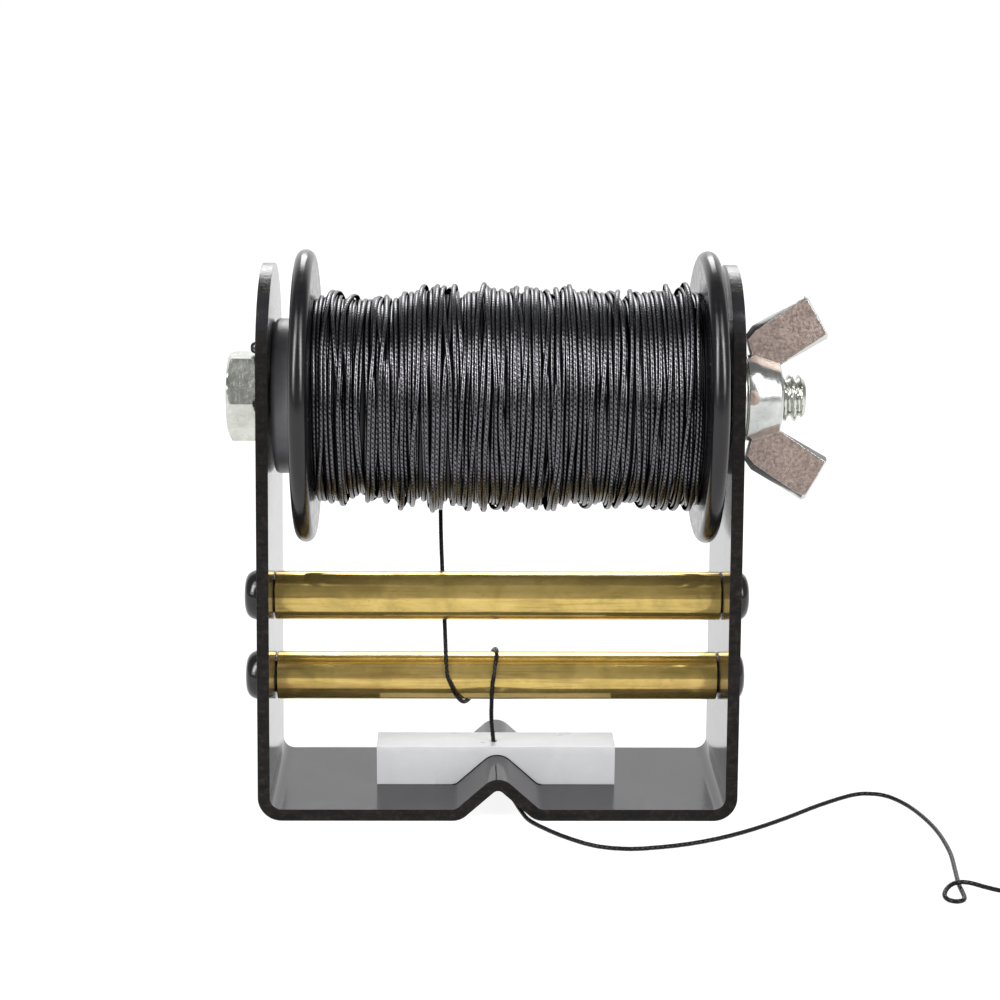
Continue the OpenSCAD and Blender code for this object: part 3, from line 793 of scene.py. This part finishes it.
# ---------------------------------------------------------------- drag parts, washer, stop pin
a, b = span("drag_spacer")
lathe("drag_spacer_turned", fillet([(a, 3.25), (a, 10.3, 0.7), (b, 10.3, 0.3), (b, 3.25)]), AXLE_Z, 0, SPACER, "frame", ("drag_spacer",), segs=160)
a, b = span("drag_washer")
lathe("drag_washer_turned", fillet([(a, 3.25), (a, 10.3, 0.2), (b, 10.3, 0.2), (b, 3.25)]), AXLE_Z, 0, SPACER, "frame", ("drag_washer",), segs=160)
a, b = span("flat_washer")
lathe("flat_washer_pressed", fillet([(a, 3.5, 0.1), (a, 5.9, 0.15), (b, 5.9, 0.25), (b, 3.5, 0.15)]), AXLE_Z, 0, ZINC, "washer", ("flat_washer",), segs=160)
softened("bolt_stop_pin", "bolt_stop_peg", OXIDE, "frame", 0.03, 1)

# ---------------------------------------------------------------- bolt: hex head, shank and a cut thread
a, b = span("axle_bolt")
BOLT_R, ROOT, PITCH, AF, HEAD = 3.15, 2.42, 1.27, 11.05, 4.4
hx = a + HEAD
segs = 96
ang = 2 * math.pi * np.arange(segs) / segs


def hexagon(v):
    """distance to the hexagon's side, flats facing up and down"""
    return (AF / 2) / np.cos(v % (math.pi / 3) - math.pi / 6)


hex_r = hexagon(ang + 0.0)
rows = []
rows.append((np.full(segs, a), np.zeros(segs)))
rows.append((np.full(segs, a), np.full(segs, 4.6)))
rows.append((np.full(segs, a), np.full(segs, AF / 2 - 0.32)))
rows.append((np.full(segs, a + 0.03), np.full(segs, AF / 2 - 0.22)))
for k in range(1, 9):  # the chamfer's cone cuts the hexagon in the usual curved line
    d = 0.09 * k
    rows.append((np.full(segs, a + d), np.minimum(hex_r, AF / 2 - 0.22 + (d - 0.03) * 1.75)))
for x in (1.2, 2.2, 3.2, 3.4):
    rows.append((np.full(segs, a + x), hex_r))
for k in range(0, 7):
    d = 0.12 * k
    rows.append((np.full(segs, hx - 0.9 + d), np.minimum(hex_r, AF / 2 + 1.0 - d * 1.3)))
rows.append((np.full(segs, hx), np.full(segs, AF / 2 - 0.15)))
rows.append((np.full(segs, hx), np.full(segs, BOLT_R + 0.05)))
rows.append((np.full(segs, hx + 0.1), np.full(segs, BOLT_R)))
start = b - 0.9 - 9 * PITCH
rows.append((np.full(segs, start - 1.0), np.full(segs, BOLT_R)))
steps = int((b - start) / (PITCH / 14))
for k in range(steps + 1):
    x = start + (b - start) * k / steps
    ph = ((x - start) / PITCH - ang / (2 * math.pi)) % 1
    crest = np.clip((np.abs(ph - 0.5) - 0.09) / 0.30, 0, 1)
    r = ROOT + (BOLT_R - ROOT) * crest
    fade = np.clip((x - start) / PITCH - ang / (2 * math.pi) * 0, 0, 1)
    r = BOLT_R + (r - BOLT_R) * fade
    r = np.minimum(r, ROOT - 0.05 + (b - x) * 1.05)
    rows.append((np.full(segs, x), np.maximum(r, 0.2)))
rows.append((np.full(segs, b), np.zeros(segs)))
bm = bmesh.new()
made = []
for x, r in rows:
    if r[0] == 0:
        made.append([bm.verts.new((float(x[0]) * MM, 0, AXLE_Z * MM))])
    else:
        made.append([bm.verts.new((float(x[k]) * MM, float(r[k] * math.cos(ang[k])) * MM, (AXLE_Z + float(r[k] * math.sin(ang[k]))) * MM)) for k in range(segs)])
for p, q in zip(made, made[1:]):
    for k in range(segs):
        k2 = (k + 1) % segs
        if len(p) == 1:
            bm.faces.new((p[0], q[k2], q[k]))
        elif len(q) == 1:
            bm.faces.new((p[k], p[k2], q[0]))
        else:
            bm.faces.new((p[k], p[k2], q[k2], q[k]))
bmesh.ops.recalc_face_normals(bm, faces=bm.faces)
me = bpy.data.meshes.new("axle_bolt_threaded")
bm.to_mesh(me)
bm.free()
put("axle_bolt_threaded", me, ZINC, "frame", ("axle_bolt",), 25)

# ---------------------------------------------------------------- wing nut, pad, strap
TILT = math.radians(10)
# the wings' flat faces get the material with the painted reflection
nut = softened("wing_nut", "wing_nut_cast", CAST, "wing_nut", 0.11, 2, 22,
         ((0, -math.cos(TILT), math.sin(TILT)), 0.985, WING_FACE_TINTED))
for v in nut.data.vertices:  # the casting's wings start a little nearer the wall
    far = math.hypot(v.co.y, v.co.z - AXLE_Z / 1000)
    if far > 0.0062 and v.co.x < 0.0352:
        v.co.x -= 0.00055 * min(1, (far - 0.0062) / 0.0008) * min(1, (0.0352 - v.co.x) / 0.0006)


softened("guide_pad", "guide_pad_cut", NYLON, "frame", 0.5, 5, 35)
strap = softened("frame", "strap_frame", PAINT, "frame", 0.16, 2, 35, ((0, 1, 0), 0.9, EDGE))
strap.data.materials.append(RIM)
for p in strap.data.polygons:  # the sheared edge runs on over the walls' round tops
    if abs(p.normal.x) < 0.5 and abs(p.normal.y) < 0.62 and p.center.z > 0.03:
        p.material_index = 2
softened("pad_screws", "pad_screw_pair", SCREW, "frame", 0.06, 1)

# ---------------------------------------------------------------- floor, world, lights
fm = Mat("floor", base=(0.2, 0.2, 0.2), Roughness=0.9)
fm.p.inputs["Specular IOR Level"].default_value = 0.1
fm.p.inputs["Emission Color"].default_value = (1, 1, 1, 1)
fm.p.inputs["Emission Strength"].default_value = 0.9
me = bpy.data.meshes.new("floor")
S = 60
me.from_pydata([(-S, -S, 0), (S, -S, 0), (S, S, 0), (-S, S, 0)], [], [(0, 1, 2, 3)])
me.materials.append(fm.m)
floor = bpy.data.objects.new("floor", me)
scene.collection.objects.link(floor)

world = bpy.data.worlds.new("studio")
scene.world = world
world.use_nodes = True
wn, wl = world.node_tree.nodes, world.node_tree.links
bg = wn["Background"]
tc = wn.new("ShaderNodeTexCoord")
sp = wn.new("ShaderNodeSeparateXYZ")
back = wn.new("ShaderNodeMapRange")
back.interpolation_type = "SMOOTHSTEP"
front = wn.new("ShaderNodeMapRange")
for o, vals in ((back, (0.5, 0.78, 0.0, 1.0)), (front, (0.05, 0.55, 0.42, 0.24))):
    for k, v in zip(("From Min", "From Max", "To Min", "To Max"), vals):
        o.inputs[k].default_value = v
both = wn.new("ShaderNodeMix")
both.data_type = "FLOAT"
wl.new(tc.outputs["Generated"], sp.inputs[0])
wl.new(sp.outputs["Y"], back.inputs["Value"])
wl.new(sp.outputs["Z"], front.inputs["Value"])
wl.new(back.outputs["Result"], both.inputs[0])
wl.new(front.outputs["Result"], both.inputs[2])
both.inputs[3].default_value = 1.15
wl.new(both.outputs[0], bg.inputs["Strength"])
bg.inputs["Color"].default_value = (1, 1, 1, 1)


def area(name, where, size, radiance, aim=(0, 0, 0.045), tint=(1, 1, 1)):
    d = bpy.data.lights.new(name, "AREA")
    d.shape = "RECTANGLE"
    d.size, d.size_y = size
    d.energy = radiance * size[0] * size[1] * math.pi
    d.color = tint
    o = bpy.data.objects.new(name, d)
    scene.collection.objects.link(o)
    o.location = where
    o.rotation_euler = (Vector(aim) - Vector(where)).to_track_quat("-Z", "Y").to_euler()
    return o


area("soft_right", (0.56, -0.54, 0.66), (0.45, 1.04), 4.7)
area("soft_left", (-0.58, -0.52, 0.66), (0.45, 1.04), 5.0)
area("hot_right", (0.553, -0.533, 0.60), (0.2, 0.5), 9.5)  # the softboxes' brighter middles
area("hot_left", (-0.573, -0.513, 0.60), (0.2, 0.5), 10)
area("soft_back", (0, 1.15, 0.95), (0.56, 0.66), 6.0)
